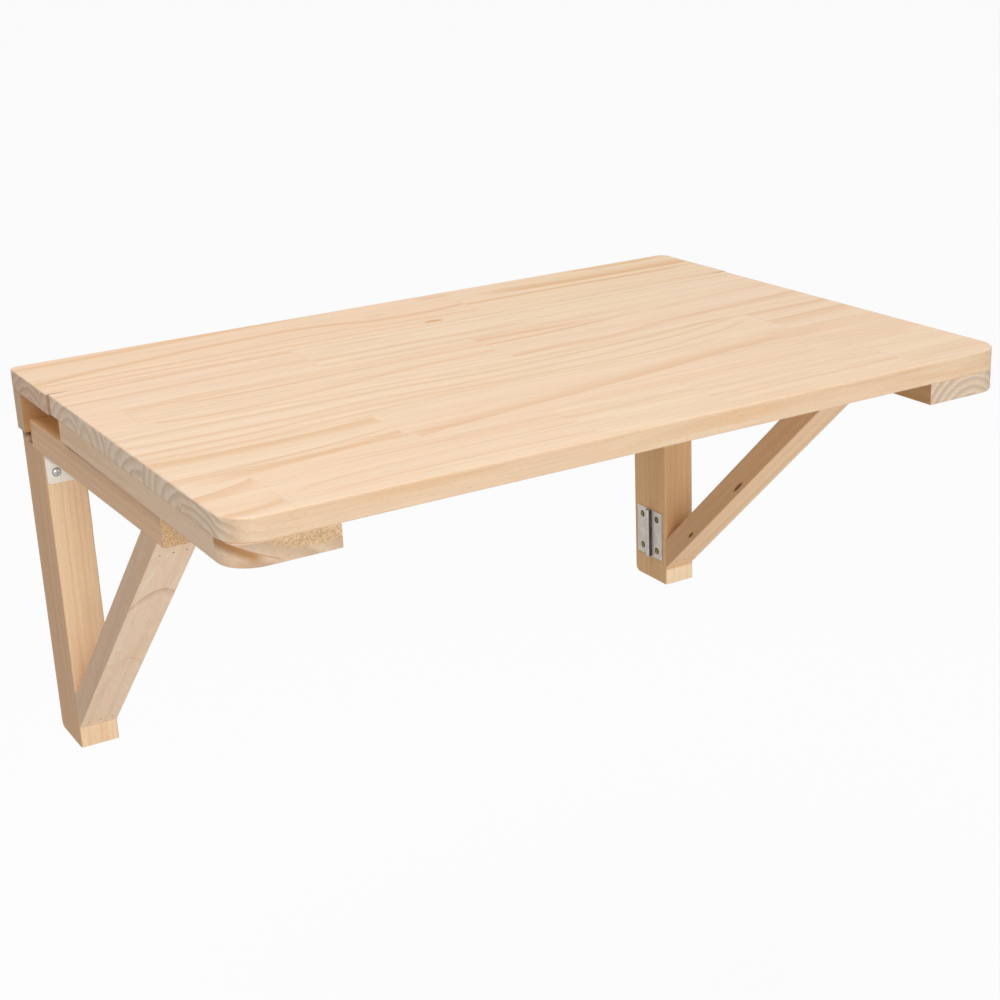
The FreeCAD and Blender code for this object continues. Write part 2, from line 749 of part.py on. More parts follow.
def make_bracket_hinges(name, side):
    turn = Rotation() if side > 0 else Rotation(Vector(0, 1, 0), 180)
    for level_name, middle in hinge_middles().items():
        at = (f"{side} * swing_axis", out("swing_line"), middle)
        hinge_plate(f"{name}_{level_name}_hinge_fixed_plate", False, at, turn)
        hinge_plate(f"{name}_{level_name}_hinge_moving_plate", True, at, turn)
        hinge_pin(f"{name}_{level_name}_hinge_pin", (at[0], at[1], f"{middle} - hinge_height / 2"), UP)
    for kind, reach in (("fixed", "- hinge_screw_reach"), ("moving", "+ hinge_screw_reach")):
        screws = []
        for number, (x, y, z) in enumerate(bracket_hinge_screw_places(side, reach)):
            head = (f"{side} * (bracket_inner - hinge_plate)", y, z)
            screws.append(hinge_screw(head, (side, 0, 0), number))
        group(f"{name}_hinge_{kind}_screws", screws)


def check_model():
    """Stop before anything is written if a feature failed or a sub-part has no valid solid."""
    for thing in doc.Objects:
        if "Invalid" in thing.State or "Error" in thing.State:
            raise RuntimeError(f"{thing.Name} failed: {thing.State}")
    for label, thing in parts.items():
        if thing.Shape.isNull() or not thing.Shape.isValid() or not thing.Shape.Solids:
            raise RuntimeError(f"{label} has no valid shape")


make_wall_rail()
make_ledge()
make_leaf()
make_leaf_hinges()
for side_name, direction in SIDES.items():
    make_batten(side_name, direction)
    make_wall_post(side_name, direction)
    make_swing_post(side_name, direction)
    make_arm(side_name, direction)
    make_brace(side_name, direction)
    make_corner_angle(side_name, direction)
    make_bracket_hinges(side_name, direction)

doc.recompute()
check_model()
os.makedirs("parts", exist_ok=True)
for part_label, part_object in parts.items():
    part_object.Shape.exportStep(f"parts/{part_label}.step")
print(f"{len(parts)} sub-parts written")
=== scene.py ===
"""Looks of the wall mounted drop leaf table: bare pine, plated hinges and screws, soft studio light.

Lengths are in metres, in the frame of the model: X along the wall, +Y into the wall, +Z up. Tables and
values whose comment says so are in millimetres.
"""
import json
import math

import bpy
from mathutils import Euler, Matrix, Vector


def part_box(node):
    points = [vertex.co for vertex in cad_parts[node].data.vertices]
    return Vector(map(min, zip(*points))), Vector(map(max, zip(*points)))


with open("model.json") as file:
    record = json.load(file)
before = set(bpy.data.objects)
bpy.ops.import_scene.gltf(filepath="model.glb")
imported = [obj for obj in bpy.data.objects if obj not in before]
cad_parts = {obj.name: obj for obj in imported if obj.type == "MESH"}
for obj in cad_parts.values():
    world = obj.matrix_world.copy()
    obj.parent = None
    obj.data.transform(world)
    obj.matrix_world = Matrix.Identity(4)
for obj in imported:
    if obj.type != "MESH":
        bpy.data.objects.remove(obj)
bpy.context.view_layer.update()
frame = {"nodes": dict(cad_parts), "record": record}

MM = 0.001
X = Vector((1, 0, 0))
Y = Vector((0, 1, 0))
Z = Vector((0, 0, 1))


def linear(red, green, blue):
    """Linear colour of an 8-bit screen colour."""
    def channel(value):
        share = value / 255
        return share / 12.92 if share <= 0.04045 else ((share + 0.055) / 1.055) ** 2.4

    return (channel(red), channel(green), channel(blue), 1.0)


def tinge(red, green, blue):
    """A colour that multiplies another one."""
    return (red, green, blue, 1.0)


# Pine: pale early wood, tan late wood, orange streaks, dark knots and rough sawn ends. The dark knot brown
# also paints shade in a recess and in the slit between ledge and leaf.
EARLY_WOOD = linear(249, 223, 197)
LATE_WOOD = linear(229, 187, 147)
END_LATE_WOOD = linear(206, 176, 150)
STREAK = linear(230, 183, 137)
KNOT_AND_SHADE_BROWN = linear(116, 74, 46)
PALE_KNOT = linear(224, 176, 130)
SAWN_PALE = linear(230, 200, 156)
SAWN_DARK = linear(188, 142, 94)
SCAR = linear(186, 136, 88)
ARCH = linear(190, 134, 98)
MOTTLE = linear(250, 236, 216)
ROSY_TONE = tinge(1.0, 0.965, 0.930)
STRAW_TONE = tinge(1.0, 0.995, 0.955)
PLAIN = tinge(1.0, 1.0, 1.0)
GREYED = tinge(0.97, 1.0, 1.06)

# Other colours.
BEECH_PALE = linear(214, 180, 142)
BEECH_DARK = linear(176, 134, 96)
# Painted shade in hinge creases and on the rims of screw heads.
SHADE_GREY = linear(74, 66, 58)
FLOOR_GREY = (0.8, 0.8, 0.8, 1.0)
WHITE = (1.0, 1.0, 1.0, 1.0)

# Glued staves: finger joints, glue lines, and the numbers kept free for the pieces of one stave.
FINGER_PITCH = 7 * MM
FINGER_LENGTH = 9 * MM
GLUE_LINE = 0.5 * MM
GLUE_STRENGTH = 0.25
PIECE_NUMBERS = 10.0

# Growth rings: width, share of a ring at which late wood is darkest, and the waves that slow noise adds.
RING_WIDTH = 9 * MM
LATE_PEAK = 0.8
BOARD_WAVE = 30 * MM
SOLID_WAVE = 5 * MM

# What chance decides for a glued piece or a ring, each as a range and its start.
PITH_LEAN = (0.14, -0.07)
PITH_ACROSS = (0.12, -0.06)
PITH_UP = (0.14, -0.11)
RING_SHARE = (0.7, 0.7)
STREAK_LUCK = (0.7, 0.1)
RING_DEPTH = (0.60, 0.10)
# What a cut end adds to the depth of a ring's colour.
END_RING_DEPTH = 0.42

# Noise along the grain: waves per metre lengthwise and crosswise, then detail and roughness.
WANDER = (4.0, 14.0, 3.0, 0.5)
STREAKS = (1.4, 34.0, 5.0, 0.6)
LINES = (1.0, 200.0, 2.0, 0.5)
BLOTCHES = (50.0, 110.0, 5.0, 0.6)
FIBRES = (30.0, 800.0, 3.0, 0.5)
DUCTS = (150.0, 1500.0, 1.0, 0.5)
MARKS = (7.0, 150.0, 4.0, 0.65)
PORES = (260.0, 620.0, 1.0, 0.5)

# Noise levels between which each of these shows, and its strength at both levels where it isn't 0 and 1.
# A piece with blotches gives their strength itself.
STREAK_LEVELS = (0.50, 0.80)
LINE_LEVELS = (0.42, 0.72, 0.0, 0.22)
BLOTCH_LEVELS = (0.52, 0.72)
FIBRE_LEVELS = (0.25, 0.75, 0.955, 1.03)
DUCT_LEVELS = (0.68, 0.80, 0.0, 0.3)
MARK_LEVELS = (0.48, 0.72, 0.0, 0.5)
PORE_LEVELS = (0.64, 0.76, 0.0, 0.38)

# How squarely a face has to look along a direction, from where a tint begins to where it is full. The tints
# of flanks and single faces are painted shade and light.
END_FACING = (0.55, 0.95)
FLANK_FACING = (0.30, 0.85)
FACE_FACING = (0.70, 0.95)

# Bands and arches: the wave of a band's line, its strength at the crest, half a stick's width, the arch's
# line from full to gone, the reach and strength of the glow before it, and how squarely a face looks to
# the side where arches begin to fade and where they are gone.
BAND_WAVE = 5 * MM
BAND_STRENGTH = 1.3
HALF_STICK = 18 * MM
ARCH_LINE = (0.3 * MM, 1.3 * MM)
ARCH_GLOW = 16 * MM
ARCH_GLOW_STRENGTH = 0.45
ARCH_FACING = (0.3, 0.6)
# Half the field of a curve along the grain and across it, in millimetres.
CURVE_REACH = 400.0
CURVE_RISE = 60.0

# Edge of a knot, and of a spot of painted shade, in shares of its half size.
SPOT_EDGE = (0.55, 1.0)

# Sawn ends: scale, detail and roughness of their grit, its levels and its relief.
GRIT = (800.0, 3.0, 0.7)
GRIT_LEVELS = (0.36, 0.64)
GRIT_RELIEF = 3.0

# Scar at the front end of a batten, in millimetres: its fade to the rear, the crack's half width and the
# fade at its end, the wedge's fade along the crack, the heights over the crack at which the sawn end is
# full and begins, and the levels in Z between which it comes in. Then two shares: how strong the crack
# is, and how much of the wedge's depth is full.
SCAR_FADE = 3
CRACK_HALF_WIDTH = 0.7
CRACK_END_FADE = 4
WEDGE_END_FADE = (12, 24)
SAWN_OVER_CRACK = (14, 5)
SAWN_LEVEL = (4, 9)
CRACK_STRENGTH = 0.8
WEDGE_CORE = 0.25

# Fade at the upper edge of painted light on a foot, in millimetres.
FOOT_FADE = 4

# Y of the seam between ledge and leaf, in millimetres. Shade is painted in its slit near both ends of the
# boards.
SEAM_LINE = -108.6
SLIT_EDGE = (0.65 * MM, 1.0 * MM)
SLIT_ENDS = (325 * MM, 345 * MM)
SLIT_STRENGTH = 0.6

# Surface of wood: relief, gloss, shares of late wood and fibre in the relief, and roughness by fibre.
WOOD_RELIEF = 0.05 * MM
WOOD_GLOSS = 0.3
RELIEF_SHARE = 0.5
FIBRE_ROUGHNESS = (0.20, 0.50)

# Dowel wood: waves per metre along X, Y and Z, detail, levels, and roughness by fleck.
FLECK_SCALES = (900.0, 900.0, 120.0)
FLECK_DETAIL = 2.0
FLECK_LEVELS = (0.52, 0.70)
FLECK_ROUGHNESS = (0.1, 0.55)

# Plating: scale and detail of clouds and stains, rub marks along X, Y and Z, and what they do.
CLOUD = (90.0, 3.0)
CLOUD_LEVELS = (0.30, 0.72)
CLOUD_ROUGHNESS = 0.16
STAIN = (900.0, 2.0)
STAIN_LEVELS = (0.62, 0.74, 0.0, 0.2)
RUB_SCALES = (2600.0, 2600.0, 300.0)
RUB_DETAIL = 3.0
RUB_ROUGHNESS = 0.12
PLATE_RELIEF = 0.010 * MM

# Y of the hinge lines in millimetres, and the crease beside a barrel where shade is painted, from its start
# to its end.
HINGE_LINES = (-28.2, SEAM_LINE)
CREASE_START = (2.5 * MM, 2.9 * MM)
CREASE_END = (3.5 * MM, 4.3 * MM)

# Front and rear edge of each glued stave, then the finger joints along it, in millimetres.
LEAF_STAVES = [
    (-500, -407, (-298, -45, 75, 262)),
    (-407, -330, (-163, 228)),
    (-330, -253, (255,)),
    (-253, -178, (-315, 14)),
    (-178, -100, (-130,)),
]
LEDGE_STAVES = [
    (-115, -88, (10,)),
    (-88, 10, (78,)),
]

# Orange bands in millimetres: points along the crest, fade to the front, fade to the rear, strength,
# and the lengths over which the band comes in and dies out.
LEAF_BANDS = [
    ([(-352, -124), (-250, -117), (-130, -117)], 5, 7, 0.40, 3, 2),
    ([(-352, -155), (-200, -152), (-130, -150)], 3, 8, 0.30, 3, 2),
    ([(-130, -158), (-50, -156), (50, -158), (130, -160)], 6, 9, 0.35, 2, 80),
    ([(-130, -124), (100, -122), (352, -122)], 3, 7, 0.25, 60, 3),
    ([(0, -151), (180, -149), (352, -150)], 3, 7, 0.20, 80, 3),
    ([(-130, -177), (30, -177), (220, -175)], 2, 9, 0.30, 2, 80),
    ([(-300, -190), (-150, -189), (14, -188)], 2, 5, 0.20, 40, 2),
    ([(-280, -208), (-200, -211), (-100, -206), (14, -205)], 3, 8, 0.30, 40, 2),
    ([(-312, -238), (-280, -252), (-220, -252), (-150, -244), (-60, -231), (14, -227)], 2, 11, 0.30, 10, 2),
    ([(14, -189), (80, -190), (170, -192)], 2, 16, 0.50, 2, 90),
    ([(14, -206), (80, -203), (140, -197), (210, -191)], 3, 7, 0.50, 2, 90),
    ([(14, -254), (70, -251), (130, -250)], 2, 13, 0.40, 2, 70),
    ([(60, -253), (120, -246), (180, -235), (250, -228), (352, -218)], 16, 2, 0.32, 40, 3),
    ([(180, -192), (260, -184), (352, -176)], 11, 4, 0.22, 60, 3),
    ([(-352, -262), (-120, -262), (-40, -270), (60, -268), (160, -261)], 2, 6, 0.20, 3, 70),
    ([(-352, -276), (-250, -275), (-120, -276), (-40, -283), (20, -282), (100, -276), (180, -268),
      (254, -258)], 2, 7, 0.36, 3, 40),
    ([(-352, -297), (-240, -301), (-150, -296), (-50, -300), (60, -298), (150, -288), (220, -272),
      (254, -262)], 2, 8, 0.32, 3, 30),
    ([(-352, -318), (-250, -318), (-200, -312), (-120, -310), (0, -316), (100, -316), (170, -305),
      (254, -276)], 2, 7, 0.30, 3, 30),
    ([(-352, -332), (-260, -334), (-150, -322), (-50, -320), (60, -324), (150, -322), (210, -308)],
     2, 6, 0.26, 3, 50),
    ([(255, -270), (300, -269), (352, -268)], 4, 13, 0.30, 2, 3),
    ([(255, -297), (300, -294), (352, -292)], 28, 2, 0.32, 2, 3),
    ([(-352, -342), (-250, -345), (-163, -339)], 22, 2, 0.48, 3, 2),
    ([(-352, -388), (-280, -386), (-220, -380), (-163, -370)], 2, 4, 0.38, 3, 2),
    ([(-352, -408), (-280, -401), (-220, -394), (-163, -384)], 8, 9, 0.40, 60, 2),
    ([(-163, -404), (-80, -391), (0, -381), (80, -370), (150, -358), (228, -350)], 2, 24, 0.38, 10, 3),
    ([(-60, -408), (80, -404), (228, -400)], 3, 11, 0.20, 80, 3),
    ([(-352, -432), (-320, -424), (-298, -413)], 24, 2, 0.42, 3, 2),
    ([(-352, -481), (-320, -477), (-298, -470)], 8, 9, 0.42, 3, 2),
    ([(-290, -464), (-250, -453), (-150, -447), (-45, -447)], 2, 6, 0.26, 20, 2),
    ([(-285, -477), (-150, -470), (-45, -474)], 2, 7, 0.26, 30, 2),
    ([(-298, -432), (-200, -425), (-45, -423)], 2, 6, 0.16, 30, 2),
    ([(75, -438), (160, -438), (262, -440)], 2, 5, 0.20, 30, 2),
    ([(75, -466), (160, -462), (262, -462)], 2, 6, 0.20, 30, 2),
]
LEDGE_BANDS = [
    ([(-352, -18), (-250, -14), (-150, -6), (-50, 0)], 10, 14, 0.40, 3, 60),
    ([(-352, -78), (-300, -66), (-250, -58), (-200, -51), (-150, -47), (-100, -45), (-60, -51), (-20, -62),
      (20, -64), (78, -55)], 4, 11, 0.46, 3, 2),
    ([(-352, -86), (-200, -82), (-60, -75), (-20, -80), (78, -84)], 3, 7, 0.28, 3, 2),
    ([(-352, -104), (-250, -99), (-100, -96), (10, -96)], 2, 5, 0.34, 3, 2),
    ([(90, -34), (150, -40), (220, -43), (352, -43)], 4, 24, 0.62, 70, 3),
    ([(78, -60), (150, -59), (220, -59), (300, -60), (352, -56)], 5, 7, 0.55, 2, 50),
    ([(44, -8), (66, -17), (90, -8)], 2, 13, 0.35, 12, 12),
    ([(220, -4), (290, -10), (350, -4)], 5, 9, 0.45, 30, 20),
    ([(-28, -42), (-12, -43), (2, -42)], 2, 3, 0.40, 8, 8),
]


class Shader:
    """A material and short calls for the nodes that this scene uses."""

    def __init__(self, name):
        self.material = bpy.data.materials.new(name)
        self.material.use_nodes = True
        self.tree = self.material.node_tree
        self.surface = self.tree.nodes["Principled BSDF"]
        coordinates = self.tree.nodes.new("ShaderNodeTexCoord")
        self.place = coordinates.outputs["Object"]
        self.normal = coordinates.outputs["Normal"]
        self.colour = None
        self.height = 0.0

    def put(self, socket, value):
        """Link a socket to another one, or set its own value."""
        if isinstance(value, bpy.types.NodeSocket):
            self.tree.links.new(value, socket)
        else:
            socket.default_value = value

    def make(self, kind, *values, **settings):
        """A new node with its settings, and with values for its first inputs."""
        node = self.tree.nodes.new(kind)
        for key, value in settings.items():
            setattr(node, key, value)
        for socket, value in zip(node.inputs, values):
            self.put(socket, value)
        return node

    def calc(self, operation, *values):
        return self.make("ShaderNodeMath", *values, operation=operation).outputs[0]

    def add(self, first, second):
        return self.calc("ADD", first, second)

    def minus(self, first, second):
        return self.calc("SUBTRACT", first, second)

    def times(self, first, second):
        return self.calc("MULTIPLY", first, second)

    def larger(self, first, second):
        return self.calc("MAXIMUM", first, second)

    def absolute(self, value):
        return self.calc("ABSOLUTE", value)

    def scaled(self, value, factor, offset):
        return self.calc("MULTIPLY_ADD", value, factor, offset)

    def distance(self, value, level):
        """How far a value is from a fixed level."""
        return self.absolute(self.add(value, -level))

    def dot(self, first, second):
        return self.make("ShaderNodeVectorMath", first, second, operation="DOT_PRODUCT").outputs["Value"]

    def length(self, vector):
        return self.make("ShaderNodeVectorMath", vector, operation="LENGTH").outputs["Value"]

    def vector(self, *parts):
        return self.make("ShaderNodeCombineXYZ", *parts).outputs[0]

    def parts(self, vector):
        return self.make("ShaderNodeSeparateXYZ", vector).outputs

    def facing(self, direction):
        """How squarely the surface looks along a direction, from -1 to 1."""
        return self.dot(self.normal, tuple(direction))

    def step(self, value, low, high, start=0.0, end=1.0):
        """A smooth change from start to end while the value goes from low to high."""
        node = self.make("ShaderNodeMapRange", value, low, high, start, end, interpolation_type="SMOOTHSTEP")
        return node.outputs[0]

    def noise(self, vector, scale, detail, roughness=0.5):
        node = self.make("ShaderNodeTexNoise")
        self.put(node.inputs["Vector"], vector)
        self.put(node.inputs["Scale"], scale)
        self.put(node.inputs["Detail"], detail)
        self.put(node.inputs["Roughness"], roughness)
        return node.outputs["Fac"]

    def stretched_noise(self, parts, scales, detail, roughness=0.5):
        """Noise at a place of which each part has a scale of its own."""
        place = self.vector(*(self.times(part, scale) for part, scale in zip(parts, scales)))
        return self.noise(place, 1.0, detail, roughness)

    def chance(self, *values):
        """Three random values that stay the same for equal values."""
        node = self.make("ShaderNodeTexWhiteNoise", self.vector(*values), noise_dimensions="3D")
        return self.parts(node.outputs["Color"])

    def curve(self, value, points):
        """A smooth line through points in millimetres, for values in metres.

        The node's own field goes from 0 to 1, so the line is laid about the middle of it.
        """
        level = points[0][1]
        node = self.make("ShaderNodeFloatCurve", 1.0, self.scaled(value, 0.5 / (CURVE_REACH * MM), 0.5))
        line = node.mapping.curves[0]
        while len(line.points) < len(points):
            line.points.new(0.5, 0.5)
        for handle, (x, y) in zip(line.points, points):
            handle.location = (0.5 + 0.5 * x / CURVE_REACH, 0.5 + 0.5 * (y - level) / CURVE_RISE)
        node.mapping.update()
        return self.scaled(node.outputs[0], 2 * CURVE_RISE * MM, (level - CURVE_RISE) * MM)

    def blend(self, factor, first, second, kind="MIX"):
        """A mix of two colours, which are the seventh and eighth input of the node."""
        node = self.make("ShaderNodeMix", data_type="RGBA", blend_type=kind)
        self.put(node.inputs[0], factor)
        self.put(node.inputs[6], first)
        self.put(node.inputs[7], second)
        return node.outputs[2]

    def stain(self, factor, colour):
        """Cover what there is with a colour, as far as the factor says."""
        self.colour = self.blend(factor, self.colour, colour)

    def tint(self, factor, colour):
        """Multiply what there is by a colour, as far as the factor says."""
        self.colour = self.blend(factor, self.colour, colour, "MULTIPLY")

    def finish(self, roughness, relief, **constants):
        """Set the surface. A height of 1 stands for the relief, in metres."""
        self.put(self.surface.inputs["Base Color"], self.colour)
        self.put(self.surface.inputs["Roughness"], roughness)
        bump = self.make("ShaderNodeBump")
        self.put(bump.inputs["Strength"], 1.0)
        self.put(bump.inputs["Distance"], relief)
        self.put(bump.inputs["Height"], self.height)
        self.put(self.surface.inputs["Normal"], bump.outputs[0])
        for name, value in constants.items():
            self.put(self.surface.inputs[name.replace("_", " ")], value)
        return self.material


class Pine(Shader):
    """Pine with growth rings about a pith line that runs along the grain, so that all faces agree."""

    def __init__(self, name, grain, across, seed, staves):
        super().__init__(name)
        self.seed = seed
        self.axes = (grain, across, grain.cross(across))
        self.along, self.side, self.up = (self.dot(self.place, tuple(axis)) for axis in self.axes)
        self.find_piece(staves)
        self.luck = self.chance(self.number, seed, 0.0)
        self.more_luck = self.chance(self.number, seed, 1.0)
        self.wander = self.grain_noise(WANDER)
        self.cut_end = self.step(self.absolute(self.facing(grain)), *END_FACING)

    def grain_noise(self, kind):
        """Noise that is drawn out along the grain."""
        lengthwise, crosswise, detail, roughness = kind
        parts = (self.along, self.side, self.up)
        return self.stretched_noise(parts, (lengthwise, crosswise, crosswise), detail, roughness)

    def find_piece(self, staves):
        """Finger-jointed staves: place along the joints, middle of the stave, piece number, glue lines."""
        half_pitch = FINGER_PITCH / 2
        zigzag = self.times(self.calc("PINGPONG", self.up, half_pitch), FINGER_LENGTH / half_pitch)
        self.run = self.add(self.along, zigzag)
        self.middle = 0.0
        self.number = 0.0
        self.glue = 0.0
        for index, (front, rear, joints) in enumerate(staves):
            behind_front = self.calc("GREATER_THAN", self.side, front * MM)
            inside = self.times(behind_front, self.calc("LESS_THAN", self.side, rear * MM))
            number = PIECE_NUMBERS * index
            line = self.step(self.distance(self.side, front * MM), 0.0, GLUE_LINE, 1.0, 0.0)
            for joint in joints:
                number = self.add(number, self.calc("GREATER_THAN", self.run, joint * MM))
                finger = self.step(self.distance(self.run, joint * MM), 0.0, GLUE_LINE, 1.0, 0.0)
                line = self.larger(line, finger)
            self.middle = self.scaled(inside, (front + rear) / 2 * MM, self.middle)
            self.number = self.scaled(inside, number, self.number)
            self.glue = self.scaled(inside, line, self.glue)

    def grow_rings(self, heart, ring_width, late_start, contrast):
        """Late wood by the distance from the pith in ring widths. Cut ends show it more strongly."""
        if heart:
            place, level, lean_across, lean_up = heart
            pith_side = self.scaled(self.along, lean_across, place * MM)
            pith_up = self.scaled(self.along, lean_up, level * MM)
            wave = SOLID_WAVE
            width = ring_width
        else:
            lean = self.times(self.along, self.scaled(self.luck[0], *PITH_LEAN))
            pith_side = self.add(self.add(self.middle, lean), self.scaled(self.luck[1], *PITH_ACROSS))
            pith_up = self.scaled(self.luck[2], *PITH_UP)
            wave = BOARD_WAVE
            width = self.scaled(self.more_luck[0], *(share * ring_width for share in RING_SHARE))
        offset = self.vector(self.minus(self.side, pith_side), self.minus(self.up, pith_up), 0.0)
        turns = self.calc("DIVIDE", self.scaled(self.wander, wave, self.length(offset)), width)
        share = self.calc("FRACT", turns)
        late = self.times(self.step(share, late_start, LATE_PEAK), self.step(share, LATE_PEAK, 1.0, 1.0, 0.0))
        ring_luck = self.chance(self.calc("FLOOR", turns), self.number, self.seed)[0]
        depth = self.scaled(ring_luck, *(part * contrast for part in RING_DEPTH))
        depth = self.scaled(self.cut_end, END_RING_DEPTH, depth)
        late_colour = self.blend(self.cut_end, LATE_WOOD, END_LATE_WOOD)
        self.colour = self.blend(self.times(late, depth), EARLY_WOOD, late_colour)
        self.height = self.times(late, RELIEF_SHARE)

    def add_streaks(self):
        """Long orange streaks and thin lines."""
        streak = self.step(self.grain_noise(STREAKS), *STREAK_LEVELS)
        self.stain(self.times(streak, self.scaled(self.more_luck[1], *STREAK_LUCK)), STREAK)
        self.stain(self.step(self.grain_noise(LINES), *LINE_LEVELS), STREAK)

    def add_bands(self, bands):
        """The orange bands of a board, on all faces but its cut ends."""
        shade = 0.0
        drift = self.scaled(self.wander, BAND_WAVE, -BAND_WAVE / 2)
        for points, front_fade, rear_fade, strength, rise, fall in bands:
            start = points[0][0]
            end = points[-1][0]
            gap = self.add(self.minus(self.side, self.curve(self.along, points)), drift)
            front = self.step(gap, -front_fade * MM, 0.0)
            rear = self.step(gap, 0.0, rear_fade * MM, BAND_STRENGTH * strength, 0.0)
            begun = self.step(self.run, start * MM, (start + rise) * MM)
            ended = self.step(self.run, (end - fall) * MM, end * MM, 1.0, 0.0)
            band = self.times(self.times(front, rear), self.times(begun, ended))
            shade = self.larger(shade, band)
        self.stain(self.times(shade, self.minus(1.0, self.cut_end)), STREAK)

    def add_arches(self, arches):
        """Thin arched growth lines, each with a glow before it, on all but the side faces.

        Each has a vertex along the grain, a middle across it and a drop at the edges, in millimetres,
        then a strength.
        """
        shade = 0.0
        for vertex, middle, drop, strength in arches:
            offset = self.scaled(self.side, 1 / HALF_STICK, -middle * MM / HALF_STICK)
            bow = self.times(self.times(offset, offset), drop * MM)
            gap = self.add(self.add(self.along, bow), self.scaled(self.wander, SOLID_WAVE, -vertex * MM))
            line = self.step(self.absolute(gap), *ARCH_LINE, strength, 0.0)
            glow = self.step(gap, -ARCH_GLOW, 0.0, 0.0, ARCH_GLOW_STRENGTH * strength)
            glow = self.times(glow, self.calc("LESS_THAN", gap, 0.0))
            shade = self.larger(shade, self.larger(line, glow))
        across = self.axes[1]
        shown = self.step(self.absolute(self.facing(across)), *ARCH_FACING, 1.0, 0.0)
        self.stain(self.times(shade, shown), ARCH)

    def add_mottle(self, strength):
        """Pale blotches."""
        self.stain(self.step(self.grain_noise(BLOTCHES), *BLOTCH_LEVELS, 0.0, strength), MOTTLE)

    def set_tone(self, colour):
        """The tone that chance gives each piece, and the tint of the whole."""
        self.tint(1.0, self.blend(self.more_luck[2], ROSY_TONE, STRAW_TONE))
        self.tint(1.0, colour)

    def add_fibres(self):
        """Fine fibres, which also set the relief and roughness, and resin ducts."""
        fibre = self.grain_noise(FIBRES)
        shade = self.step(fibre, *FIBRE_LEVELS)
        self.tint(1.0, self.vector(shade, shade, shade))
        self.tint(self.step(self.grain_noise(DUCTS), *DUCT_LEVELS), LATE_WOOD)
        self.height = self.add(self.height, self.times(fibre, RELIEF_SHARE))
        self.roughness = self.scaled(fibre, *FIBRE_ROUGHNESS)

    def tint_flanks(self, direction, colour, pores_everywhere):
        """Painted shade on the two faces across a direction, painted light where the tint is above 1, with
        marks along the grain and small pores.
        """
        turned = self.step(self.absolute(self.facing(direction)), *FLANK_FACING)
        self.tint(turned, colour)
        self.stain(self.times(turned, self.step(self.grain_noise(MARKS), *MARK_LEVELS)), STREAK)
        porous = 1.0 if pores_everywhere else turned
        self.tint(self.times(porous, self.step(self.grain_noise(PORES), *PORE_LEVELS)), STREAK)

    def tint_face(self, direction, colour):
        """Painted shade on the one face that looks along a direction."""
        self.tint(self.step(self.facing(direction), *FACE_FACING), colour)

    def tint_foot(self, level, colour):
        """Painted light: tint the front face below a level, where it is lit below the shade of the leaf."""
        z = self.parts(self.place)[2]
        low = self.step(z, (level - FOOT_FADE) * MM, level * MM, 1.0, 0.0)
        self.tint(self.times(low, self.step(self.facing(-Y), *FACE_FACING)), colour)

    def scar_shades(self, start, end, depth, deepest):
        """A torn wedge under a crack that slants across the front end, and the end above the crack."""
        x, y, z = self.parts(self.place)
        start_x, start_z = start
        end_x, end_z = end
        slope = (end_z - start_z) / (end_x - start_x)
        line = self.scaled(x, slope, (start_z - slope * start_x) * MM)
        under = self.minus(line, z)
        at_front = self.step(y, (deepest - SCAR_FADE) * MM, deepest * MM, 1.0, 0.0)
        crack = self.step(self.absolute(under), 0.0, CRACK_HALF_WIDTH * MM, 1.0, 0.0)
        crack_end = self.step(x, (end_x - CRACK_END_FADE) * MM, end_x * MM, CRACK_STRENGTH, 0.0)
        wedge = self.step(under, WEDGE_CORE * depth * MM, depth * MM, 1.0, 0.0)
        wedge = self.times(wedge, self.calc("GREATER_THAN", under, 0.0))
        wedge_end = self.step(x, *((start_x + reach) * MM for reach in WEDGE_END_FADE), 1.0, 0.0)
        wound = self.larger(self.times(crack, crack_end), self.times(wedge, wedge_end))
        above = self.step(under, *(-height * MM for height in SAWN_OVER_CRACK), 1.0, 0.0)
        high = self.step(z, *(level * MM for level in SAWN_LEVEL))
        return self.times(wound, at_front), self.times(above, high)

    def saw_ends(self, strength, scar):
        """Rough sawn ends, with a scar across the front end where the piece has one."""
        rough = self.times(self.cut_end, strength)
        if scar:
            wound, above = self.scar_shades(*scar)
            rough = self.times(rough, above)
        grit = self.noise(self.place, *GRIT)
        self.stain(rough, self.blend(self.step(grit, *GRIT_LEVELS), SAWN_DARK, SAWN_PALE))
        self.height = self.add(self.height, self.times(self.times(rough, grit), GRIT_RELIEF))
        if scar:
            self.stain(wound, SCAR)

    def add_knots_and_shade(self, knots_and_shade, colour):
        """Knots, bark marks and spots of painted shade, each a spot with a length along the grain and a
        width, in millimetres.
        """
        shade = 0.0
        for spot, length, width in knots_and_shade:
            middle = tuple(Vector(spot) * MM)
            offset = self.make("ShaderNodeVectorMath", self.place, middle, operation="SUBTRACT").outputs[0]
            reach = [
                self.times(self.dot(offset, tuple(axis)), 2 / (size * MM))
                for axis, size in zip(self.axes, (length, width, width))]
            gap = self.length(self.vector(*reach))
            shade = self.larger(shade, self.step(gap, *SPOT_EDGE, 1.0, 0.0))
        self.stain(shade, colour)

    def add_glue_lines_and_slit_shade(self):
        """Glue lines of the staves, and painted shade in the slit between ledge and leaf near their ends."""
        self.tint(self.times(self.glue, GLUE_STRENGTH), STREAK)
        self.height = self.minus(self.height, self.glue)
        slit_shade = self.step(self.distance(self.side, SEAM_LINE * MM), *SLIT_EDGE, SLIT_STRENGTH, 0.0)
        near_end = self.step(self.absolute(self.along), *SLIT_ENDS)
        self.stain(self.times(slit_shade, near_end), KNOT_AND_SHADE_BROWN)


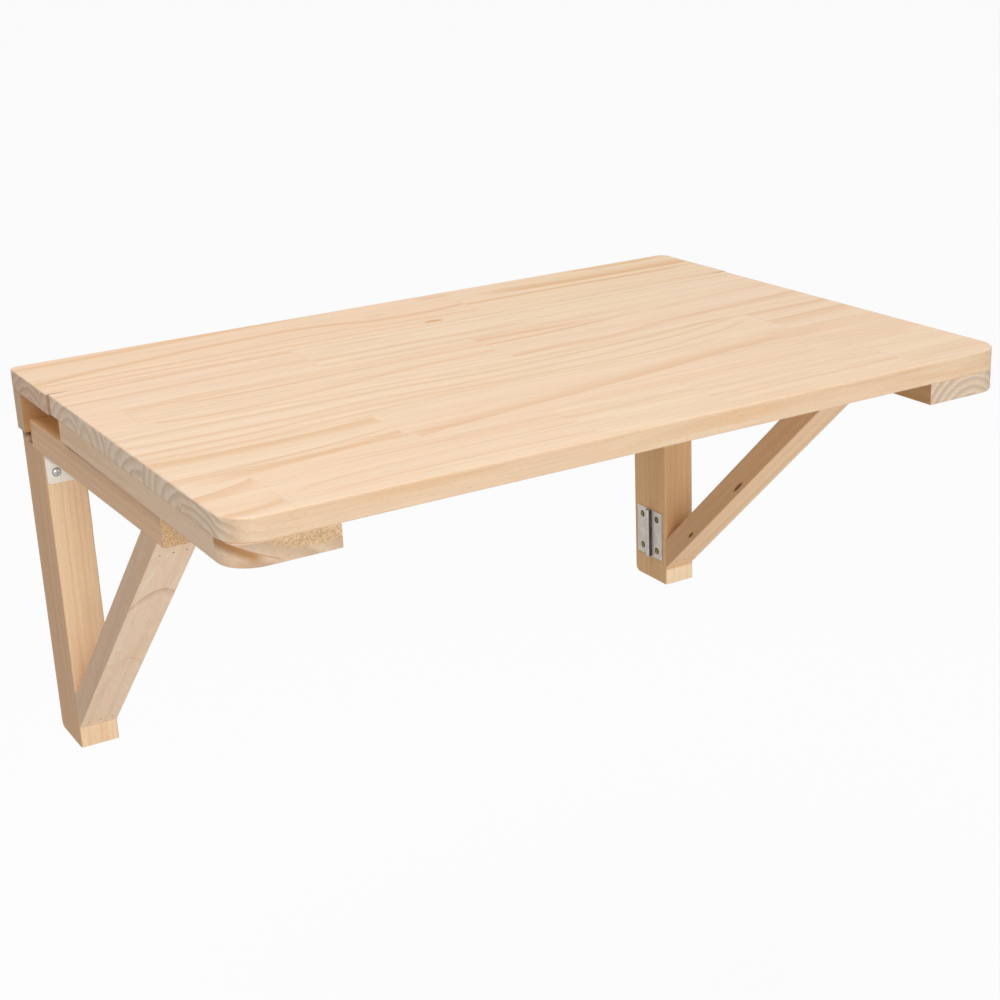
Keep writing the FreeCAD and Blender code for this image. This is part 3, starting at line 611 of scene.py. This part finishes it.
def pine(name, grain, across, seed, contrast, tint=PLAIN, end_tint=GREYED, staves=(), bands=(), heart=None,
         ring_width=RING_WIDTH, late_start=0.1, arches=(), mottle=0.0, flank=None, face=None, foot=None,
         sawn=0.0, scar=None, knots_and_shade=(), spot_colour=KNOT_AND_SHADE_BROWN):
    """The material of one pine piece.

    A solid piece says where its heart is: place across and up in millimetres, then its lean in both. A
    board of glued staves leaves that to chance.
    """
    wood = Pine(name, grain, across, seed, staves)
    wood.grow_rings(heart, ring_width, late_start, contrast)
    wood.add_streaks()
    if bands:
        wood.add_bands(bands)
    if arches:
        wood.add_arches(arches)
    if mottle:
        wood.add_mottle(mottle)
    wood.set_tone(tint)
    wood.add_fibres()
    wood.tint(wood.cut_end, end_tint)
    if flank:
        wood.tint_flanks(*flank, pores_everywhere=bool(heart))
    if face:
        wood.tint_face(*face)
    if foot:
        wood.tint_foot(*foot)
    if sawn:
        wood.saw_ends(sawn, scar)
    if knots_and_shade:
        wood.add_knots_and_shade(knots_and_shade, spot_colour)
    if staves:
        wood.add_glue_lines_and_slit_shade()
    return wood.finish(wood.roughness, WOOD_RELIEF, Specular_IOR_Level=WOOD_GLOSS)


def beech(name):
    """Dowel wood: even tan with short dark flecks along Z."""
    shader = Shader(name)
    shader.height = shader.stretched_noise(shader.parts(shader.place), FLECK_SCALES, FLECK_DETAIL)
    fleck = shader.step(shader.height, *FLECK_LEVELS)
    shader.colour = shader.blend(fleck, BEECH_PALE, BEECH_DARK)
    roughness = shader.scaled(fleck, *FLECK_ROUGHNESS)
    return shader.finish(roughness, WOOD_RELIEF, Specular_IOR_Level=WOOD_GLOSS)


def plated(name, pale, dull, rough, metallic, crease_shade=0.0, rim_shade=None):
    """Plated steel: faintly cloudy plating, fine rub marks, small stains and painted shade in the creases
    beside hinge barrels.

    A rim gets painted shade where the surface faces none of the three axes squarely: two bounds and a
    strength.
    """
    shader = Shader(name)
    parts = shader.parts(shader.place)
    cloud = shader.noise(shader.place, *CLOUD)
    rub = shader.stretched_noise(parts, RUB_SCALES, RUB_DETAIL)
    shader.height = rub
    shader.colour = shader.blend(shader.step(cloud, *CLOUD_LEVELS), pale, dull)
    shader.tint(shader.step(shader.noise(shader.place, *STAIN), *STAIN_LEVELS), dull)
    if crease_shade:
        painted_crease = 0.0
        for line in HINGE_LINES:
            gap = shader.distance(parts[1], line * MM)
            begun = shader.step(gap, *CREASE_START)
            ended = shader.step(gap, *CREASE_END, crease_shade, 0.0)
            painted_crease = shader.larger(painted_crease, shader.times(begun, ended))
        shader.stain(painted_crease, SHADE_GREY)
    if rim_shade:
        square = 0.0
        for part in shader.parts(shader.normal):
            square = shader.larger(square, shader.absolute(part))
        shader.stain(shader.step(square, *rim_shade, 0.0), SHADE_GREY)
    by_cloud = shader.scaled(cloud, CLOUD_ROUGHNESS, rough - CLOUD_ROUGHNESS / 2)
    by_rub = shader.scaled(rub, RUB_ROUGHNESS, -RUB_ROUGHNESS / 2)
    return shader.finish(shader.add(by_cloud, by_rub), PLATE_RELIEF, Metallic=metallic)


def brace_grain():
    """Direction of a brace, from its foot at the post to its head under the arm."""
    low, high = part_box("left_brace")
    return Vector((0, low.y - high.y, high.z - low.z)).normalized()


# Tints of pine pieces: of the whole, of two opposite faces, and of one face. Those of faces are painted
# shade, and painted light where above 1.
SLANT = brace_grain()
STRAW = tinge(1.0, 0.95, 0.855)
# Honey is partly the pine's own tone and partly painted warm bounce light from the shade under the leaf and
# ledge.
HONEY = tinge(0.91, 0.80, 0.60)
TAN = tinge(0.95, 0.86, 0.75)
# Painted shade: the side faces of the left posts are darker.
SHADED_SIDES = (X, tinge(0.78, 0.68, 0.60))
# Painted shade: the top of an arm is darker honey, deep in the shade of the leaf.
SHADED_ARM_TOP = (Z, tinge(0.88, 0.80, 0.58))
# Long narrow stock shows thin late wood.
STICK = dict(late_start=0.45, contrast=0.7)
PINE_PIECES = {
    "leaf_panel": dict(
        grain=X, across=Y, seed=11.3, staves=LEAF_STAVES, bands=LEAF_BANDS, contrast=0.35,
        end_tint=tinge(0.96, 1.0, 1.04), flank=(Y, tinge(0.88, 0.86, 0.81))),
    "rear_ledge": dict(
        grain=X, across=Y, seed=4.7, staves=LEDGE_STAVES, bands=LEDGE_BANDS, contrast=0.35,
        tint=tinge(1.0, 0.985, 0.955), end_tint=tinge(0.84, 0.80, 0.80),
        knots_and_shade=[((20, -98, 35.5), 24, 11)], spot_colour=PALE_KNOT),
    # The rail's flank and front tints are painted shade, deep under the ledge.
    "wall_rail": dict(
        grain=X, across=Y, seed=2.9, tint=HONEY, end_tint=tinge(0.80, 0.86, 1.0),
        heart=(-90, -10, 0.0, 0.01), ring_width=6 * MM,
        flank=(Y, tinge(0.86, 0.80, 0.70)), face=(-Y, tinge(0.72, 0.66, 0.60)), **STICK),
    "left_end_batten": dict(
        grain=Y, across=X, seed=5.1, end_tint=tinge(0.77, 0.75, 0.73), heart=(-343, 81, 0.0, 0.02),
        ring_width=16 * MM, contrast=0.5, sawn=0.75, scar=((-346, 16.5), (-312, 1.5), 10, -462),
        flank=(X, tinge(0.93, 0.90, 0.88))),
    # The right batten's inner face tint is painted shade under the leaf.
    "right_end_batten": dict(
        grain=Y, across=X, seed=8.6, end_tint=tinge(0.82, 0.88, 0.95), heart=(312, 28, 0.0, 0.01),
        ring_width=7 * MM, contrast=0.5, sawn=0.1,
        flank=(X, tinge(0.88, 0.83, 0.78)), face=(-X, tinge(0.62, 0.52, 0.38))),
    # The dark spot at the top of each wall post is painted shade in the recess under the rail.
    "left_wall_post": dict(
        grain=Z, across=X, seed=3.3, tint=STRAW, heart=(-390, -60, 0.01, 0.0), ring_width=6 * MM,
        knots_and_shade=[((-329, -6, -18), 26, 70)], flank=SHADED_SIDES, **STICK),
    "right_wall_post": dict(
        grain=Z, across=X, seed=6.2, tint=HONEY, heart=(260, 40, 0.01, 0.0), ring_width=6 * MM,
        knots_and_shade=[((329, -6, -18), 26, 70)], flank=(X, tinge(0.96, 0.94, 0.89)), **STICK),
    "left_swing_post": dict(
        grain=Z, across=X, seed=7.4, tint=STRAW, heart=(-400, -20, 0.02, 0.0), ring_width=5 * MM,
        late_start=0.45, contrast=0.5, flank=SHADED_SIDES),
    # The right swing post's dark tint is partly painted shade of the leaf; its foot tint is painted light
    # below that shade.
    "right_swing_post": dict(
        grain=Z, across=X, seed=9.8, tint=tinge(0.82, 0.70, 0.50), heart=(240, -30, 0.02, 0.0),
        ring_width=8 * MM, flank=(X, tinge(1.06, 1.06, 1.05)), foot=(-296, tinge(1.32, 1.60, 2.10)),
        **STICK),
    "left_arm": dict(
        grain=Y, across=X, seed=12.7, tint=TAN, heart=(-362, -30, 0.02, 0.0), ring_width=7 * MM,
        contrast=0.3, sawn=0.85, flank=(X, tinge(0.94, 0.90, 0.88)), face=SHADED_ARM_TOP),
    "right_arm": dict(
        grain=Y, across=X, seed=13.9, tint=TAN, heart=(362, 50, 0.02, 0.0), ring_width=7 * MM,
        contrast=0.3, sawn=0.85, flank=(X, tinge(0.84, 0.76, 0.66)), face=SHADED_ARM_TOP),
    "left_brace": dict(
        grain=SLANT, across=X, seed=15.2, tint=tinge(0.96, 0.93, 0.91), heart=(-300, -150, 0.02, 0.05),
        ring_width=14 * MM, late_start=0.5, contrast=0.3, flank=(X, tinge(0.86, 0.79, 0.74)),
        arches=[(134, -326, 20, 0.75), (-4, -330, 16, 0.22)], mottle=0.65),
    "right_brace": dict(
        grain=SLANT, across=X, seed=16.4, tint=tinge(1.03, 0.925, 0.81), heart=(280, -190, 0.03, 0.0),
        ring_width=9 * MM, contrast=0.5, knots_and_shade=[((311, -182, -167), 24, 4), ((311, -102, -243), 14, 4)],
        flank=(X, tinge(0.75, 0.67, 0.56))),
}
# Plated hardware: pale and dull colour, roughness, how metallic it is, painted shade beside hinge barrels,
# and painted shade on the rims of domed heads.
PLATED = {
    "hinge_zinc": dict(
        pale=linear(206, 199, 191), dull=linear(192, 184, 176), rough=0.46, metallic=0.75, crease_shade=0.9),
    "pin_steel": dict(
        pale=linear(150, 148, 146), dull=linear(108, 105, 102), rough=0.38, metallic=1.0),
    "screw_yellow_zinc": dict(
        pale=linear(186, 164, 104), dull=linear(150, 128, 74), rough=0.34, metallic=0.9,
        rim_shade=(0.91, 0.955, 1.0)),
    "screw_zinc": dict(
        pale=linear(214, 214, 212), dull=linear(184, 184, 182), rough=0.42, metallic=0.7,
        rim_shade=(0.79, 0.88, 0.7)),
    "angle_white_zinc": dict(
        pale=linear(252, 247, 237), dull=linear(246, 240, 228), rough=0.50, metallic=0.0),
    "brads": dict(
        pale=linear(136, 98, 70), dull=linear(112, 80, 56), rough=0.65, metallic=0.1),
}

slots = {part["node"]: part["material_slot"] for part in frame["record"]["subparts"]}
hardware = {"beech_dowel": beech("beech_dowel")}
for name, looks in PLATED.items():
    hardware[name] = plated(name, **looks)
for node, thing in frame["nodes"].items():
    if node in PINE_PIECES:
        material = pine(f"pine_{node}", **PINE_PIECES[node])
    elif node.endswith("brads"):
        material = hardware["brads"]
    else:
        material = hardware[slots[node]]
    thing.data.materials.clear()
    thing.data.materials.append(material)


# Floor, light and camera. The floor is seen mostly as its white glow, and the rest takes the shadow.
FLOOR_LEVEL = -0.715
FLOOR_SIZE = 60.0
FLOOR_GLOW = 0.95
WORLD_STRENGTH = 0.18
# Square lamps that all point at one spot: place, side length and power in watts.
LAMP_TARGET = (0.0, -0.25, -0.1)
LAMPS = {
    "overhead": ((-0.7, -0.2, 3.0), 2.4, 69.0),
    "front_left": ((-1.0, -2.8, 0.7), 1.5, 31.0),
    "front_right": ((1.2, -2.9, 0.7), 1.9, 20.0),
}
# The photo's camera, as fitted to corners and edges of the table. Lens and sensor are in millimetres.
CAMERA_PLACE = (-0.74324, -1.53529, 0.43612)
CAMERA_TURN_DEGREES = (70.3569, 2.3917, -30.7418)
CAMERA_LENS = 64.542
CAMERA_SENSOR = 36.0


def background_mix(tree, lit, white):
    """White towards the camera and in reflections, the lit shader for the rest of the light."""
    path = tree.nodes.new("ShaderNodeLightPath")
    seen = path.outputs["Is Camera Ray"]
    for ray in ("Is Glossy Ray", "Is Transmission Ray"):
        either = tree.nodes.new("ShaderNodeMath")
        either.operation = "MAXIMUM"
        tree.links.new(seen, either.inputs[0])
        tree.links.new(path.outputs[ray], either.inputs[1])
        seen = either.outputs[0]
    mix = tree.nodes.new("ShaderNodeMixShader")
    tree.links.new(seen, mix.inputs[0])
    tree.links.new(lit, mix.inputs[1])
    tree.links.new(white, mix.inputs[2])
    return mix.outputs[0]


def make_floor():
    """A wide pale floor that stays white in the picture but keeps a soft shadow."""
    mesh = bpy.data.meshes.new("floor")
    half = FLOOR_SIZE / 2
    outline = ((-half, -half), (half, -half), (half, half), (-half, half))
    mesh.from_pydata([(x, y, FLOOR_LEVEL) for x, y in outline], [], [(0, 1, 2, 3)])
    floor = bpy.data.objects.new("floor", mesh)
    bpy.context.scene.collection.objects.link(floor)
    material = bpy.data.materials.new("floor")
    material.use_nodes = True
    tree = material.node_tree
    tree.nodes.remove(tree.nodes["Principled BSDF"])
    matt = tree.nodes.new("ShaderNodeBsdfDiffuse")
    matt.inputs["Color"].default_value = FLOOR_GREY
    glow = tree.nodes.new("ShaderNodeEmission")
    shadowed = tree.nodes.new("ShaderNodeMixShader")
    shadowed.inputs[0].default_value = FLOOR_GLOW
    tree.links.new(matt.outputs[0], shadowed.inputs[1])
    tree.links.new(glow.outputs[0], shadowed.inputs[2])
    output = tree.nodes["Material Output"]
    tree.links.new(background_mix(tree, matt.outputs[0], shadowed.outputs[0]), output.inputs["Surface"])
    mesh.materials.append(material)


def make_world():
    """Faint even light, with a white background in the picture."""
    world = bpy.data.worlds.new("studio")
    world.use_nodes = True
    tree = world.node_tree
    lit = tree.nodes["Background"]
    lit.inputs["Color"].default_value = WHITE
    lit.inputs["Strength"].default_value = WORLD_STRENGTH
    white = tree.nodes.new("ShaderNodeBackground")
    white.inputs["Color"].default_value = WHITE
    white.inputs["Strength"].default_value = 1.0
    output = tree.nodes["World Output"]
    tree.links.new(background_mix(tree, lit.outputs[0], white.outputs[0]), output.inputs["Surface"])
    bpy.context.scene.world = world


def make_lamp(name, place, size, power):
    """A soft square lamp that points at the table."""
    lamp = bpy.data.lights.new(name, "AREA")
    lamp.shape = "SQUARE"
    lamp.size = size
    lamp.energy = power
    thing = bpy.data.objects.new(name, lamp)
    thing.location = place
    thing.rotation_euler = (Vector(LAMP_TARGET) - Vector(place)).to_track_quat("-Z", "Y").to_euler()
    bpy.context.scene.collection.objects.link(thing)


def make_camera():
    """The camera, in the place of the photo's own."""
    lens = bpy.data.cameras.new("camera")
    lens.lens = CAMERA_LENS
    lens.sensor_width = CAMERA_SENSOR
    camera = bpy.data.objects.new("camera", lens)
    camera.location = CAMERA_PLACE
    camera.rotation_euler = Euler([math.radians(turn) for turn in CAMERA_TURN_DEGREES])
    bpy.context.scene.collection.objects.link(camera)
    bpy.context.scene.camera = camera


make_floor()
make_world()
for name, settings in LAMPS.items():
    make_lamp(name, *settings)
make_camera()
bpy.context.scene.view_settings.view_transform = "Standard"
